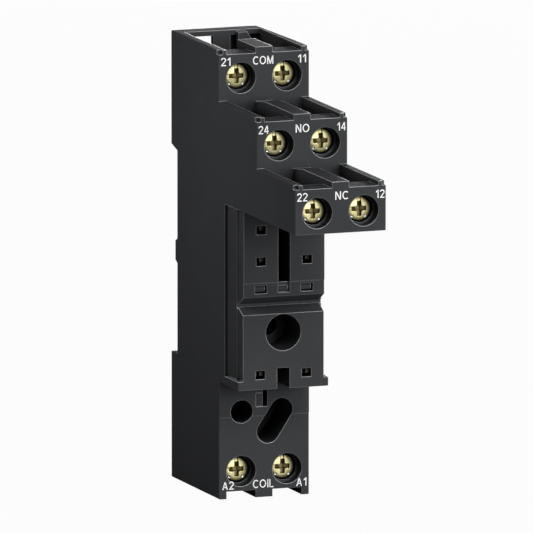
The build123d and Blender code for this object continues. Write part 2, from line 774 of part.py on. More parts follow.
for name, side, face_depth, level, wire_side, leg_depth, row in terminals:
    screw_x = side * column_offset

    # Screw: head with a broken edge and a cross recess, plain shank for the thread
    head_seat = head_recess + head_height
    with BuildPart() as screw:
        with BuildSketch(front_plane(face_depth - head_seat)):
            with Locations((screw_x, z_at(level))):
                Circle(head_radius)
        extrude(amount=head_height)
        head_rim = screw.faces().sort_by(Axis.Y)[0].edges()
        chamfer(head_rim, length=head_chamfer)
        with BuildSketch(front_plane(face_depth - head_seat)):
            with Locations((screw_x, z_at(level))):
                Circle(shank_radius)
        extrude(amount=-(tongue_recess - head_seat - tip_clearance))
        chamfer(screw.faces().sort_by(Axis.Y)[-1].edges(), length=shank_chamfer)
        with BuildSketch(front_plane(face_depth - head_recess)):
            with Locations((screw_x, z_at(level))):
                Rectangle(cross_length, cross_width)
                Rectangle(cross_width, cross_length)
        extrude(amount=-cross_depth, taper=cross_taper, mode=Mode.SUBTRACT)
    screw.part.label = "screw_" + name
    export_step(screw.part, "parts/screw_" + name + ".step")

    # Clamp cage: a loop of sheet round the wire and the strip, threaded in front
    cage_middle_depth = face_depth - cage_front_recess - cage_length / 2
    cage_middle_level = level + wire_side * (cage_height / 2 - cage_low)
    with BuildPart() as cage:
        with BuildSketch(Plane.XY.offset(z_at(cage_middle_level))):
            with Locations((screw_x, y_at(cage_middle_depth))):
                RectangleRounded(cage_width, cage_length, cage_corner)
                RectangleRounded(
                    cage_width - 2 * cage_sheet,
                    cage_length - 2 * cage_sheet,
                    cage_inner_corner,
                    mode=Mode.SUBTRACT,
                )
        extrude(amount=cage_height / 2, both=True)
        with BuildSketch(front_plane(face_depth - cage_front_recess + past)):
            with Locations((screw_x, z_at(level))):
                Circle(shank_radius + thread_clearance)
        extrude(amount=-(cage_sheet + 2 * past), mode=Mode.SUBTRACT)
    cage.part.label = "clamp_cage_" + name
    export_step(cage.part, "parts/clamp_cage_" + name + ".step")

    # Contact strip: tongue, shelf under the wire, leg, and a fork for the relay pin
    tongue_depth = face_depth - tongue_recess - strip_sheet / 2
    shelf_level = level - wire_side * (shelf_drop - strip_sheet / 2)
    fork_end = window_bar_depth - window_bar_radius - fork_clearance
    fork_start = fork_end - fork_length
    with BuildPart() as strip:
        with BuildSketch(Plane.YZ.offset(screw_x)):
            with BuildLine():
                bends = FilletPolyline(
                    at(tongue_depth, level + wire_side * tongue_rise),
                    at(tongue_depth, shelf_level),
                    at(leg_depth, shelf_level),
                    at(leg_depth, row),
                    at(fork_end, row),
                    radius=strip_bend_radius,
                )
            trace(bends, strip_sheet)
        extrude(amount=strip_width / 2, both=True)

        # Slot of the fork, and its narrower width
        trim = (strip_width - fork_width) / 2 + past
        with BuildSketch(Plane.XY.offset(z_at(row))):
            with Locations((screw_x, y_at(fork_end - (fork_slot_length - past) / 2))):
                Rectangle(fork_slot, fork_slot_length + past)
            for edge in (-1, 1):
                trim_x = screw_x + edge * (fork_width + trim) / 2
                with Locations((trim_x, y_at((fork_start + fork_end + past) / 2))):
                    Rectangle(trim, fork_length + past)
        extrude(amount=strip_sheet, both=True, mode=Mode.SUBTRACT)

        # Narrow legs, so that the strips of one column pass beside each other
        spare = strip_width - strip_leg_width
        inner_x = side * (column_offset + (strip_width - spare) / 2)
        outer_x = side * (column_offset - (strip_width - spare) / 2)
        if row == row_levels[1]:
            pass_rear = leg_depth + leg_shoulder
            pass_front = fork_start - joint_overlap
            with Locations((inner_x, y_at((pass_rear + pass_front) / 2), z_at(row))):
                Box(spare, pass_front - pass_rear, 2 * passing_gap, mode=Mode.SUBTRACT)
        if row == row_levels[0]:
            pass_high = shelf_level - leg_shoulder
            pass_low = row + leg_shoulder
            with Locations((inner_x, y_at(leg_depth), z_at((pass_low + pass_high) / 2))):
                Box(spare, 2 * passing_gap, pass_high - pass_low, mode=Mode.SUBTRACT)
        if row == row_levels[2]:
            pass_rear = leg_depth - passing_gap
            pass_front = tongue_depth - passing_gap
            pass_middle = (row + shelf_level) / 2
            with Locations((outer_x, y_at((pass_rear + pass_front) / 2), z_at(pass_middle))):
                Box(
                    spare,
                    pass_front - pass_rear,
                    shelf_level - row + 2 * passing_gap,
                    mode=Mode.SUBTRACT,
                )
    strip.part.label = "contact_" + name
    export_step(strip.part, "parts/contact_" + name + ".step")
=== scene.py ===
import math

import bmesh
import bpy
import numpy as np
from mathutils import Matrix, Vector


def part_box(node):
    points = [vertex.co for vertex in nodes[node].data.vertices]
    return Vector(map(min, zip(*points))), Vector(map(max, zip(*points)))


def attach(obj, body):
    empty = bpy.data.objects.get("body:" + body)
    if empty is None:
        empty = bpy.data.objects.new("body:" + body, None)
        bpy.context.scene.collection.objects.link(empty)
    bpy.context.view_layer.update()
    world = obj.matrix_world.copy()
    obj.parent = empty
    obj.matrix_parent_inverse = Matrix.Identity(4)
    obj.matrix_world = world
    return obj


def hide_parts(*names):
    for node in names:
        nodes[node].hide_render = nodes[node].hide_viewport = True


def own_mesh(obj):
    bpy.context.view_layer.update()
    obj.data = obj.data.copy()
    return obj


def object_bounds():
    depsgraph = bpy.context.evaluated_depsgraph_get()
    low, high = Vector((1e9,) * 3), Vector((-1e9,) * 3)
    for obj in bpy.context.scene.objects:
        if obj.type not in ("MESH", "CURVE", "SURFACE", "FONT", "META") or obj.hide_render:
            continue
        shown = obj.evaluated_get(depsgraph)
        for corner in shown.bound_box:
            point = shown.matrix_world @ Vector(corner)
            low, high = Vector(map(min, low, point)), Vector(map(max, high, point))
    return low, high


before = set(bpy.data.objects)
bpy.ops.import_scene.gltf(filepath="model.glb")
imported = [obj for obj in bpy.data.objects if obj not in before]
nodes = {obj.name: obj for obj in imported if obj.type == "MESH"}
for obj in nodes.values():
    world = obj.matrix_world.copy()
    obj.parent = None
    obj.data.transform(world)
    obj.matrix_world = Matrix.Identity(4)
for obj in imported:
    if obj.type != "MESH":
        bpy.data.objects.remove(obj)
cad_box = [list(corner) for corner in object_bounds()]

# Sizes of the socket, in metres
MM = 0.001
RAIL_DEPTH = 3.0 * MM
RAIL_LEVEL = 40.4 * MM
TERMINALS = ["21", "11", "24", "14", "22", "12", "a2", "a1"]
FACE_DEPTHS = {"rear": 24.3 * MM, "middle": 43.4 * MM, "front": 62.5 * MM, "coil": 24.3 * MM}

# Camera: a long lens seen from the left and a little above. The lens gets longer with the
# distance, and beyond about 4.4 m a view from another side no longer reaches the socket.
CAMERA_AZIMUTH = -20.038
CAMERA_ELEVATION = 9.524
CAMERA_DISTANCE = 4.0
PIXELS_ACROSS = 533
PIXELS_PER_METRE = 5802.4
SIGHT_POINT = Vector((0.0, RAIL_DEPTH - 30.0 * MM, 39.25 * MM - RAIL_LEVEL))
SIGHT_PIXEL = (275.41, 278.0)

# Depth of wells and bores, as the share of open sky over a surface
HOLLOW_SHARES = (0.06, 0.40)
CLEAR_SHARES = (0.34, 0.60)
# Share of the dark plastic's colour left deep in wells, bores and slots: painted shade
HOLLOW_SHADE_TINT = 0.2

# Radius that sharp edges seem to have, and height of the surface textures
MOULD_EDGE = 0.18 * MM
PLATING_EDGE = 0.08 * MM
SCREW_EDGE = 0.05 * MM
MOULD_RELIEF = 0.006 * MM
PLATING_RELIEF = 0.002 * MM

# Gloss of the plastic on flats and on edges, and how much lighter its edges are painted as a highlight,
# more where they face up
FLAT_GLOSS = 0.003
EDGE_GLOSS = 0.30
EDGE_HIGHLIGHT_SHARE = 0.20
UPPER_EDGE_HIGHLIGHT_SHARE = 0.85
EDGE_POLISH = 0.25

# Metal share of the screws' passivated surface, which is partly a matt film
SCREW_METAL = 0.62


def depth_y(depth):
    """Place along Y of a plane that lies depth in front of the rear plane."""
    return RAIL_DEPTH - depth


def level_z(level):
    """Place along Z of a level counted from the bottom."""
    return level - RAIL_LEVEL


# Node groups shared by the materials


def new_group(name, inputs, outputs):
    """An empty shader node group with the sockets named in inputs and outputs."""
    group = bpy.data.node_groups.new(name, "ShaderNodeTree")
    for socket_name, kind, value in inputs:
        socket = group.interface.new_socket(socket_name, in_out="INPUT", socket_type=kind)
        if value is not None:
            socket.default_value = value
    for socket_name, kind in outputs:
        group.interface.new_socket(socket_name, in_out="OUTPUT", socket_type=kind)
    entry = group.nodes.new("NodeGroupInput")
    leave = group.nodes.new("NodeGroupOutput")
    return group, entry, leave


def math_node(tree, operation, first, second=None):
    """A Math node with its inputs set or linked; gives its output socket."""
    node = tree.nodes.new("ShaderNodeMath")
    node.operation = operation
    for place, value in enumerate((first, second)):
        if value is None:
            continue
        if isinstance(value, (int, float)):
            node.inputs[place].default_value = value
        else:
            tree.links.new(value, node.inputs[place])
    return node.outputs[0]


def noise_node(tree, place, scale, detail=3.0, roughness=0.55):
    """A noise texture at the given place; scale is in waves per metre, a number or a socket."""
    node = tree.nodes.new("ShaderNodeTexNoise")
    node.inputs["Detail"].default_value = detail
    node.inputs["Roughness"].default_value = roughness
    tree.links.new(place, node.inputs["Vector"])
    if isinstance(scale, (int, float)):
        node.inputs["Scale"].default_value = scale
    else:
        tree.links.new(scale, node.inputs["Scale"])
    return node.outputs["Fac"]


def map_range(tree, value, low, high, new_low, new_high):
    """Maps a value from low..high to new_low..new_high and holds it there."""
    node = tree.nodes.new("ShaderNodeMapRange")
    for name, number in (
        ("From Min", low),
        ("From Max", high),
        ("To Min", new_low),
        ("To Max", new_high),
    ):
        node.inputs[name].default_value = number
    tree.links.new(value, node.inputs["Value"])
    return node.outputs["Result"]


def mix_colour(tree, share, first, second):
    """Mixes two colours by share; each may be a colour or a socket."""
    node = tree.nodes.new("ShaderNodeMix")
    node.data_type = "RGBA"
    colour_inputs = [socket for socket in node.inputs if socket.type == "RGBA"]
    for socket, value in zip(colour_inputs, (first, second)):
        if isinstance(value, tuple):
            socket.default_value = (*value, 1.0)
        else:
            tree.links.new(value, socket)
    if isinstance(share, (int, float)):
        node.inputs[0].default_value = share
    else:
        tree.links.new(share, node.inputs[0])
    return [socket for socket in node.outputs if socket.type == "RGBA"][0]


def make_rounded_edges():
    """Rounds the look of sharp edges, and gives a mask that is 1 on them and 0 on flats, and
    one that is 1 only on those that face up; the materials paint highlights by them."""
    group, entry, leave = new_group(
        "rounded_edges",
        [("Radius", "NodeSocketFloat", 0.0002), ("Sharpness", "NodeSocketFloat", 6.0)],
        [("Edge", "NodeSocketFloat"), ("Upward", "NodeSocketFloat"), ("Normal", "NodeSocketVector")],
    )
    rounding = group.nodes.new("ShaderNodeBevel")
    rounding.samples = 8
    group.links.new(entry.outputs["Radius"], rounding.inputs["Radius"])
    surface = group.nodes.new("ShaderNodeNewGeometry")
    likeness = group.nodes.new("ShaderNodeVectorMath")
    likeness.operation = "DOT_PRODUCT"
    group.links.new(rounding.outputs["Normal"], likeness.inputs[0])
    group.links.new(surface.outputs["Normal"], likeness.inputs[1])
    bend = math_node(group, "SUBTRACT", 1.0, likeness.outputs["Value"])
    strong = math_node(group, "MULTIPLY", bend, entry.outputs["Sharpness"])
    edge = map_range(group, strong, 0.0, 1.0, 0.0, 1.0)
    group.links.new(edge, leave.inputs["Edge"])
    parts = group.nodes.new("ShaderNodeSeparateXYZ")
    group.links.new(rounding.outputs["Normal"], parts.inputs["Vector"])
    facing = map_range(group, parts.outputs["Z"], -0.1, 0.6, 0.0, 1.0)
    group.links.new(math_node(group, "MULTIPLY", edge, facing), leave.inputs["Upward"])
    group.links.new(rounding.outputs["Normal"], leave.inputs["Normal"])
    return group


def make_spark_texture():
    """Fine eroded texture of a mould, with slow patches of duller and clearer surface."""
    group, entry, leave = new_group(
        "spark_texture",
        [("Grain", "NodeSocketFloat", 5200.0), ("Patches", "NodeSocketFloat", 90.0)],
        [("Height", "NodeSocketFloat"), ("Patch", "NodeSocketFloat"), ("Speck", "NodeSocketFloat")],
    )
    place = group.nodes.new("ShaderNodeTexCoord").outputs["Object"]
    grain = noise_node(group, place, entry.outputs["Grain"], 4.0, 0.6)
    patch = noise_node(group, place, entry.outputs["Patches"], 3.0, 0.5)
    coarse = math_node(group, "MULTIPLY", entry.outputs["Grain"], 0.27)
    swell = noise_node(group, place, coarse, 2.0, 0.5)
    height = math_node(group, "ADD", grain, math_node(group, "MULTIPLY", swell, 0.8))
    group.links.new(height, leave.inputs["Height"])
    group.links.new(map_range(group, patch, 0.3, 0.7, 0.0, 1.0), leave.inputs["Patch"])
    group.links.new(map_range(group, grain, 0.35, 0.65, 0.0, 1.0), leave.inputs["Speck"])
    return group


def make_plating_film():
    """Thin uneven film on plated metal: slow colour clouds and fine rubbing marks."""
    group, entry, leave = new_group(
        "plating_film",
        [("Clouds", "NodeSocketFloat", 700.0), ("Marks", "NodeSocketFloat", 9000.0)],
        [("Cloud", "NodeSocketFloat"), ("Mark", "NodeSocketFloat")],
    )
    place = group.nodes.new("ShaderNodeTexCoord").outputs["Object"]
    cloud = noise_node(group, place, entry.outputs["Clouds"], 3.0, 0.55)
    mark = noise_node(group, place, entry.outputs["Marks"], 2.0, 0.5)
    group.links.new(map_range(group, cloud, 0.3, 0.7, 0.0, 1.0), leave.inputs["Cloud"])
    group.links.new(map_range(group, mark, 0.3, 0.7, 0.0, 1.0), leave.inputs["Mark"])
    return group


def make_openness():
    """Open is 0 deep in wells, bores and slots and 1 elsewhere; Exposed is 1 only on
    surfaces that little else stands over. The materials paint shade by Open and keep
    their painted highlights to Exposed surfaces."""
    group, entry, leave = new_group(
        "openness",
        [("Reach", "NodeSocketFloat", 0.006)],
        [("Open", "NodeSocketFloat"), ("Exposed", "NodeSocketFloat")],
    )
    cavity = group.nodes.new("ShaderNodeAmbientOcclusion")
    cavity.samples = 6
    group.links.new(entry.outputs["Reach"], cavity.inputs["Distance"])
    for name, shares in (("Open", HOLLOW_SHARES), ("Exposed", CLEAR_SHARES)):
        level = map_range(group, cavity.outputs["AO"], *shares, 0.0, 1.0)
        group.links.new(level, leave.inputs[name])
    return group


rounded_edges = make_rounded_edges()
openness = make_openness()
spark_texture = make_spark_texture()
plating_film = make_plating_film()


# Materials


def new_material(name):
    """A material with its Principled shader, and the tree to add to."""
    material = bpy.data.materials.new(name)
    material.use_nodes = True
    tree = material.node_tree
    return material, tree, tree.nodes["Principled BSDF"]


def place_group(tree, group, **values):
    """Places a node group in a material with its own values."""
    node = tree.nodes.new("ShaderNodeGroup")
    node.node_tree = group
    for name, value in values.items():
        node.inputs[name.replace("_", " ")].default_value = value
    return node


def add_relief(tree, shader, height, distance, normal):
    """Bump of the given depth in metres, on top of the rounded normal."""
    bump = tree.nodes.new("ShaderNodeBump")
    bump.inputs["Distance"].default_value = distance
    bump.inputs["Strength"].default_value = 1.0
    tree.links.new(height, bump.inputs["Height"])
    tree.links.new(normal, bump.inputs["Normal"])
    tree.links.new(bump.outputs["Normal"], shader.inputs["Normal"])


def make_moulding(name, dark, light, edge, smooth, dull):
    """Black moulded plastic: mottled colour, spark texture, glossier edges with a painted highlight
    that is strongest where they face up, and painted shade deep in wells, bores and slots.
    """
    material, tree, shader = new_material(name)
    texture = place_group(tree, spark_texture)
    edges = place_group(tree, rounded_edges, Radius=MOULD_EDGE, Sharpness=6.0)
    depths = place_group(tree, openness)
    mottle = mix_colour(tree, texture.outputs["Patch"], dark, light)
    # Edges are painted lighter towards the edge colour, more where they face up: a painted highlight,
    # kept off surfaces in hollows
    exposed_edge = math_node(tree, "MULTIPLY", edges.outputs["Edge"], depths.outputs["Exposed"])
    edge_highlit = mix_colour(tree, math_node(tree, "MULTIPLY", exposed_edge, EDGE_HIGHLIGHT_SHARE), mottle, edge)
    exposed_top_edge = math_node(tree, "MULTIPLY", edges.outputs["Upward"], depths.outputs["Exposed"])
    upper_highlight = math_node(tree, "MULTIPLY", exposed_top_edge, UPPER_EDGE_HIGHLIGHT_SHARE)
    highlit_colour = mix_colour(tree, upper_highlight, edge_highlit, edge)
    # Deep in wells, bores and slots the colour falls to a share of the dark plastic: painted shade
    hollow_shade = tuple(HOLLOW_SHADE_TINT * part for part in dark)
    tree.links.new(
        mix_colour(tree, depths.outputs["Open"], hollow_shade, highlit_colour), shader.inputs["Base Color"]
    )
    sheen = map_range(tree, texture.outputs["Patch"], 0.0, 1.0, smooth, dull)
    polish = math_node(tree, "MULTIPLY", edges.outputs["Edge"], EDGE_POLISH)
    tree.links.new(math_node(tree, "SUBTRACT", sheen, polish), shader.inputs["Roughness"])
    add_relief(tree, shader, texture.outputs["Height"], MOULD_RELIEF, edges.outputs["Normal"])
    gloss = map_range(tree, exposed_edge, 0.0, 1.0, FLAT_GLOSS, EDGE_GLOSS)
    open_gloss = math_node(tree, "MULTIPLY", gloss, depths.outputs["Open"])
    tree.links.new(open_gloss, shader.inputs["Specular IOR Level"])
    return material


def make_plating(name, light, deep, edge, smooth, dull):
    """Plated metal: clouds between two tints, a lighter colour on edges and fine marks."""
    material, tree, shader = new_material(name)
    film = place_group(tree, plating_film)
    edges = place_group(tree, rounded_edges, Radius=PLATING_EDGE, Sharpness=4.0)
    tint = mix_colour(tree, film.outputs["Cloud"], light, deep)
    tree.links.new(mix_colour(tree, edges.outputs["Edge"], tint, edge), shader.inputs["Base Color"])
    sheen = map_range(tree, film.outputs["Mark"], 0.0, 1.0, smooth, dull)
    tree.links.new(sheen, shader.inputs["Roughness"])
    shader.inputs["Metallic"].default_value = 1.0
    add_relief(tree, shader, film.outputs["Mark"], PLATING_RELIEF, edges.outputs["Normal"])
    return material


def mesh_share(tree, name):
    """A share from 0 to 1 that the mesh carries under this name."""
    node = tree.nodes.new("ShaderNodeAttribute")
    node.attribute_name = name
    return node.outputs["Fac"]


def make_screw_plating():
    """Yellow passivated zinc, cream on the head. By shares that the mesh carries as attributes,
    it is painted with shade down the recess (tan, then dark brown, and a less dark olive on
    its floor) and at the rim, and with glints in the dents; edges get a painted highlight,
    and places that the bore stands close over get painted shade."""
    material, tree, shader = new_material("yellow_zinc")
    film = place_group(tree, plating_film, Clouds=900.0)
    edges = place_group(tree, rounded_edges, Radius=SCREW_EDGE, Sharpness=3.0)
    depth = mesh_share(tree, "sink")
    head = mix_colour(tree, film.outputs["Cloud"], (0.80, 0.74, 0.42), (0.62, 0.56, 0.26))
    # Down the cross recess the colour darkens to tan, then dark brown, with a less dark olive on its
    # floor: painted shade
    tan = mix_colour(tree, map_range(tree, depth, 0.02, 0.15, 0.0, 1.0), head, (0.34, 0.25, 0.09))
    brown = mix_colour(tree, map_range(tree, depth, 0.15, 0.40, 0.0, 1.0), tan, (0.14, 0.10, 0.028))
    floor = mix_colour(tree, map_range(tree, depth, 0.95, 0.99, 0.0, 1.0), brown, (0.34, 0.27, 0.10))
    # The rim is darkened to olive: painted shade from the bore round the head
    rim_shade_share = math_node(tree, "MULTIPLY", mesh_share(tree, "rim"), 0.75)
    rim_shaded = mix_colour(tree, rim_shade_share, floor, (0.09, 0.095, 0.045))
    # Edges are painted lighter: a painted highlight
    screw_edge_share = math_node(tree, "MULTIPLY", edges.outputs["Edge"], 0.5)
    screw_edge_highlit = mix_colour(tree, screw_edge_share, rim_shaded, (0.66, 0.60, 0.36))
    # The dents are painted near white: a painted glint
    bright = mix_colour(tree, mesh_share(tree, "dent_glint"), screw_edge_highlit, (0.95, 0.95, 0.88))
    # Where the bore stands close over the head, the colour falls to dark olive: painted shade
    depths = place_group(tree, openness, Reach=0.002)
    tree.links.new(
        mix_colour(tree, depths.outputs["Exposed"], (0.07, 0.06, 0.02), bright),
        shader.inputs["Base Color"],
    )
    sheen = map_range(tree, film.outputs["Mark"], 0.0, 1.0, 0.24, 0.34)
    tree.links.new(sheen, shader.inputs["Roughness"])
    shader.inputs["Metallic"].default_value = SCREW_METAL
    add_relief(tree, shader, film.outputs["Mark"], PLATING_RELIEF, edges.outputs["Normal"])
    return material


def make_ink(name, colour):
    """Printed white ink with a faint uneven cover."""
    material, tree, shader = new_material(name)
    film = place_group(tree, plating_film, Clouds=2500.0)
    faded = tuple(0.82 * part for part in colour)
    tree.links.new(
        mix_colour(tree, film.outputs["Cloud"], colour, faded), shader.inputs["Base Color"]
    )
    tree.links.new(
        map_range(tree, film.outputs["Mark"], 0.0, 1.0, 0.45, 0.6), shader.inputs["Roughness"]
    )
    return material


# The third colour of each moulding is the colour of its painted edge highlight
black_moulding = make_moulding(
    "black_moulding", (0.036, 0.037, 0.039), (0.042, 0.043, 0.046), (0.68, 0.69, 0.71), 0.55, 0.65
)
cover_moulding = make_moulding(
    "cover_moulding", (0.026, 0.027, 0.029), (0.034, 0.035, 0.037), (0.12, 0.125, 0.13), 0.45, 0.58
)
foot_moulding = make_moulding(
    "foot_moulding", (0.022, 0.022, 0.024), (0.030, 0.030, 0.032), (0.12, 0.12, 0.125), 0.32, 0.42
)
yellow_zinc = make_screw_plating()
bright_zinc = make_plating(
    "bright_zinc", (0.46, 0.45, 0.42), (0.34, 0.33, 0.31), (0.60, 0.59, 0.56), 0.30, 0.42
)
# Nickel-plated contact strip, its colour darkened far below nickel's own: painted shade for the dark
# pin holes it sits in
shaded_strip_nickel = make_plating(
    "shaded_strip_nickel", (0.08, 0.076, 0.068), (0.05, 0.048, 0.043), (0.12, 0.115, 0.10), 0.42, 0.54
)
spring_wire = make_plating(
    "spring_wire", (0.55, 0.55, 0.55), (0.40, 0.40, 0.41), (0.72, 0.72, 0.72), 0.22, 0.34
)
white_ink = make_ink("white_ink", (0.86, 0.86, 0.85))


def dress(node_name, material):
    """Gives a CAD node its material."""
    piece = nodes[node_name]
    for place in piece.material_slots:
        place.material = material
    if not piece.material_slots:
        piece.data.materials.append(material)


dress("housing", black_moulding)
dress("back_cover", cover_moulding)
dress("rail_foot", foot_moulding)
for terminal in TERMINALS:
    dress("clamp_cage_" + terminal, bright_zinc)
    dress("contact_" + terminal, shaded_strip_nickel)


# Terminal screws

HEAD_RADIUS = 2.1 * MM
DOME_HEIGHT = 0.26 * MM
RIM_ROUNDING = 0.22 * MM
HEAD_HEIGHT = 2.0 * MM
CORE_RADIUS = 1.19 * MM
THREAD_RADIUS = 1.44 * MM
THREAD_PITCH = 0.5 * MM
CROSS_HALF_WIDTH = 0.42 * MM
CROSS_REACH = 1.32 * MM
CROSS_DEPTH = 1.2 * MM
CROSS_FLOOR_RADIUS = 0.36 * MM
CROSS_MOUTH_RADIUS = 0.76 * MM
NOTCH_HALF_WIDTH = 0.26 * MM
NOTCH_DEPTH = 0.3 * MM
DENTS = [(-1.28 * MM, -1.28 * MM), (1.05 * MM, -1.30 * MM)]
DENT_RADIUS = 0.27 * MM
DENT_DEPTH = 0.12 * MM
# Radii over which the head's rim is painted darker, as shade from the bore round it
RIM_SHADE_START = 1.50 * MM
RIM_SHADE_END = 1.90 * MM
TURN_STEPS = 176


def smooth_step(value, low, high):
    """0 below low, 1 above high, and a smooth curve between them."""
    share = np.clip((value - low) / (high - low), 0.0, 1.0)
    return share * share * (3.0 - 2.0 * share)


def cross_recess(across, up):
    """Depth of the crossed arms at places across and up from the screw's axis, whose floors
    fall towards a flat round middle, and depth of the notches that run from the left and
    the upper arm out to the rim."""
    wall = 0.08 * MM
    cross = np.zeros_like(across)
    for along, beside in ((across, up), (up, across)):
        inside = 1.0 - smooth_step(np.abs(beside), CROSS_HALF_WIDTH - wall, CROSS_HALF_WIDTH)
        reach = 1.0 - smooth_step(np.abs(along), CROSS_REACH - wall, CROSS_REACH)
        floor = CROSS_DEPTH * (1.0 - 0.5 * np.abs(along) / CROSS_REACH)
        cross = np.maximum(cross, inside * reach * floor)
    from_axis = np.hypot(across, up)
    middle = 1.0 - smooth_step(from_axis, CROSS_FLOOR_RADIUS, CROSS_MOUTH_RADIUS)
    cross = np.maximum(cross, middle * CROSS_DEPTH)
    notch = np.zeros_like(across)
    for along, beside in ((-across, up), (up, across)):
        inside = 1.0 - smooth_step(np.abs(beside), NOTCH_HALF_WIDTH, NOTCH_HALF_WIDTH + wall)
        outward = smooth_step(along, 0.9 * MM, 1.1 * MM)
        notch = np.maximum(notch, inside * outward * NOTCH_DEPTH)
    return cross, notch


def dent_share(across, up):
    """1 in the middle of each dent, falling as a parabola to 0 at its edge."""
    share = np.zeros_like(across)
    for dent_across, dent_up in DENTS:
        from_dent = np.hypot(across - dent_across, up - dent_up) / DENT_RADIUS
        share = np.maximum(share, np.clip(1.0 - from_dent ** 2, 0.0, None))
    return share


def screw_surface(length):
    """Points of a screw with its head's top at the origin and its tip at length: a profile of
    radius and depth turned round the axis, with the recess pressed into the head and the
    shank's radius following a triangle wave of the thread's pitch along a helix. With them
    go the shares by which its plating paints shade and glints: how deep in the recess, in a dent or on
    the rim."""
    top = np.linspace(0.0, HEAD_RADIUS - RIM_ROUNDING, 84)
    rounding = np.linspace(0.0, math.pi / 2, 10)[1:]
    thread_start = HEAD_HEIGHT + 0.15 * MM
    shank = np.linspace(thread_start, length - 0.3 * MM, 130)
    radii = np.concatenate([
        top,
        HEAD_RADIUS - RIM_ROUNDING + RIM_ROUNDING * np.sin(rounding),
        [HEAD_RADIUS, HEAD_RADIUS, CORE_RADIUS + 0.2 * MM, CORE_RADIUS],
        np.full(shank.size, CORE_RADIUS),
        [CORE_RADIUS - 0.25 * MM, 0.0],
    ])
    dome = DOME_HEIGHT * (top / HEAD_RADIUS) ** 2
    rim_depth = dome[-1]
    depths = np.concatenate([
        dome,
        rim_depth + RIM_ROUNDING * (1.0 - np.cos(rounding)),
        [HEAD_HEIGHT - 0.1 * MM, HEAD_HEIGHT, HEAD_HEIGHT, thread_start],
        shank,
        [length, length],
    ])
    turn = np.linspace(0.0, 2.0 * math.pi, TURN_STEPS, endpoint=False)
    radius = np.repeat(radii[:, None], TURN_STEPS, axis=1)
    depth = np.repeat(depths[:, None], TURN_STEPS, axis=1)
    first_shank = radii.size - 2 - shank.size
    wave = (depth[first_shank:-2] / THREAD_PITCH - turn / (2.0 * math.pi)) % 1.0
    crest = 1.0 - np.abs(2.0 * wave - 1.0)
    radius[first_shank:-2] += (THREAD_RADIUS - CORE_RADIUS) * crest
    across = radius * np.cos(turn)
    up = radius * np.sin(turn)
    on_head = top.size + rounding.size
    cross, notch = cross_recess(across[:on_head], up[:on_head])
    dents = dent_share(across[:on_head], up[:on_head])
    depth[:on_head] += np.maximum(np.maximum(cross, notch), DENT_DEPTH * dents)
    shares = {"sink": np.zeros_like(depth), "dent_glint": np.zeros_like(depth)}
    shares["sink"][:on_head] = cross / CROSS_DEPTH
    # Share of the painted glint in each dent
    shares["dent_glint"][:on_head] = np.sqrt(dents)
    shares["rim"] = smooth_step(radius, RIM_SHADE_START, RIM_SHADE_END)
    return across, up, depth, shares


def grid_faces(rows, columns):
    """Quads of a grid whose columns close round; the first and last rows are poles."""
    row, column = np.meshgrid(np.arange(rows - 1), np.arange(columns), indexing="ij")
    following = (column + 1) % columns
    quads = np.stack([
        row * columns + column,
        (row + 1) * columns + column,
        (row + 1) * columns + following,
        row * columns + following,
    ], axis=-1)
    return quads.reshape(-1, 4)


def close_poles(faces, rows, columns):
    """Points the first and the last row of quads at one point each, so that they are
    triangles that meet at the poles."""
    closed = faces.copy()
    first = closed < columns
    closed[first] = 0
    last_start = (rows - 1) * columns
    closed[closed >= last_start] = last_start
    return closed


def add_grid(name, surface, material):
    """A closed smooth piece from rows of points whose columns close round."""
    rows, columns = surface.shape[:2]
    faces = close_poles(grid_faces(rows, columns), rows, columns)
    mesh = bpy.data.meshes.new(name)
    polygons = [list(dict.fromkeys(face)) for face in faces.tolist()]
    mesh.from_pydata(surface.reshape(-1, 3).tolist(), [], polygons)
    mesh.shade_smooth()
    mesh.materials.append(material)
    piece = bpy.data.objects.new(name, mesh)
    bpy.context.scene.collection.objects.link(piece)
    return piece


def add_screw(terminal):
    """A terminal screw that stands for the CAD screw, on the same axis and in its box."""
    low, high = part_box("screw_" + terminal)
    axis_x = (low.x + high.x) / 2
    axis_z = (low.z + high.z) / 2
    across, up, depth, shares = screw_surface(high.y - low.y)
    surface = np.stack([axis_x + across, low.y + depth, axis_z + up], axis=-1)
    piece = add_grid("terminal_screw_" + terminal, surface, yellow_zinc)
    for name, share in shares.items():
        attribute = piece.data.attributes.new(name, "FLOAT", "POINT")
        attribute.data.foreach_set("value", share.ravel())
    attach(piece, "screw_" + terminal)
    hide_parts("screw_" + terminal)


for terminal in TERMINALS:
    add_screw(terminal)


# Spring of the rail foot

WIRE_RADIUS = 0.165 * MM
SPRING_TURNS = 6
STEPS_PER_TURN = 48
WIRE_STEPS = 16


def coil_surface(coil_radius, rise):
    """Points of a wire wound into a coil: a circle that stands square to a helix of the
    given radius and rise, with both ends drawn in to a point."""
    share = np.linspace(0.0, 1.0, SPRING_TURNS * STEPS_PER_TURN + 1)
    share = np.concatenate([[0.0], share, [1.0]])
    wire = np.full(share.size, WIRE_RADIUS)
    wire[[0, -1]] = 0.0
    angle = 2.0 * math.pi * SPRING_TURNS * share
    outward = np.stack([np.cos(angle), np.sin(angle), np.zeros_like(angle)], axis=-1)
    centre = coil_radius * outward
    centre[:, 2] = rise * share
    slope = rise / (2.0 * math.pi * SPRING_TURNS)
    along = np.stack([
        -coil_radius * np.sin(angle),
        coil_radius * np.cos(angle),
        np.full(angle.size, slope),
    ], axis=-1)
    along /= np.linalg.norm(along, axis=1)[:, None]
    aside = np.cross(along, outward)
    turn = np.linspace(0.0, 2.0 * math.pi, WIRE_STEPS, endpoint=False)[None, :, None]
    ring = np.cos(turn) * outward[:, None, :] - np.sin(turn) * aside[:, None, :]
    return centre[:, None, :] + wire[:, None, None] * ring


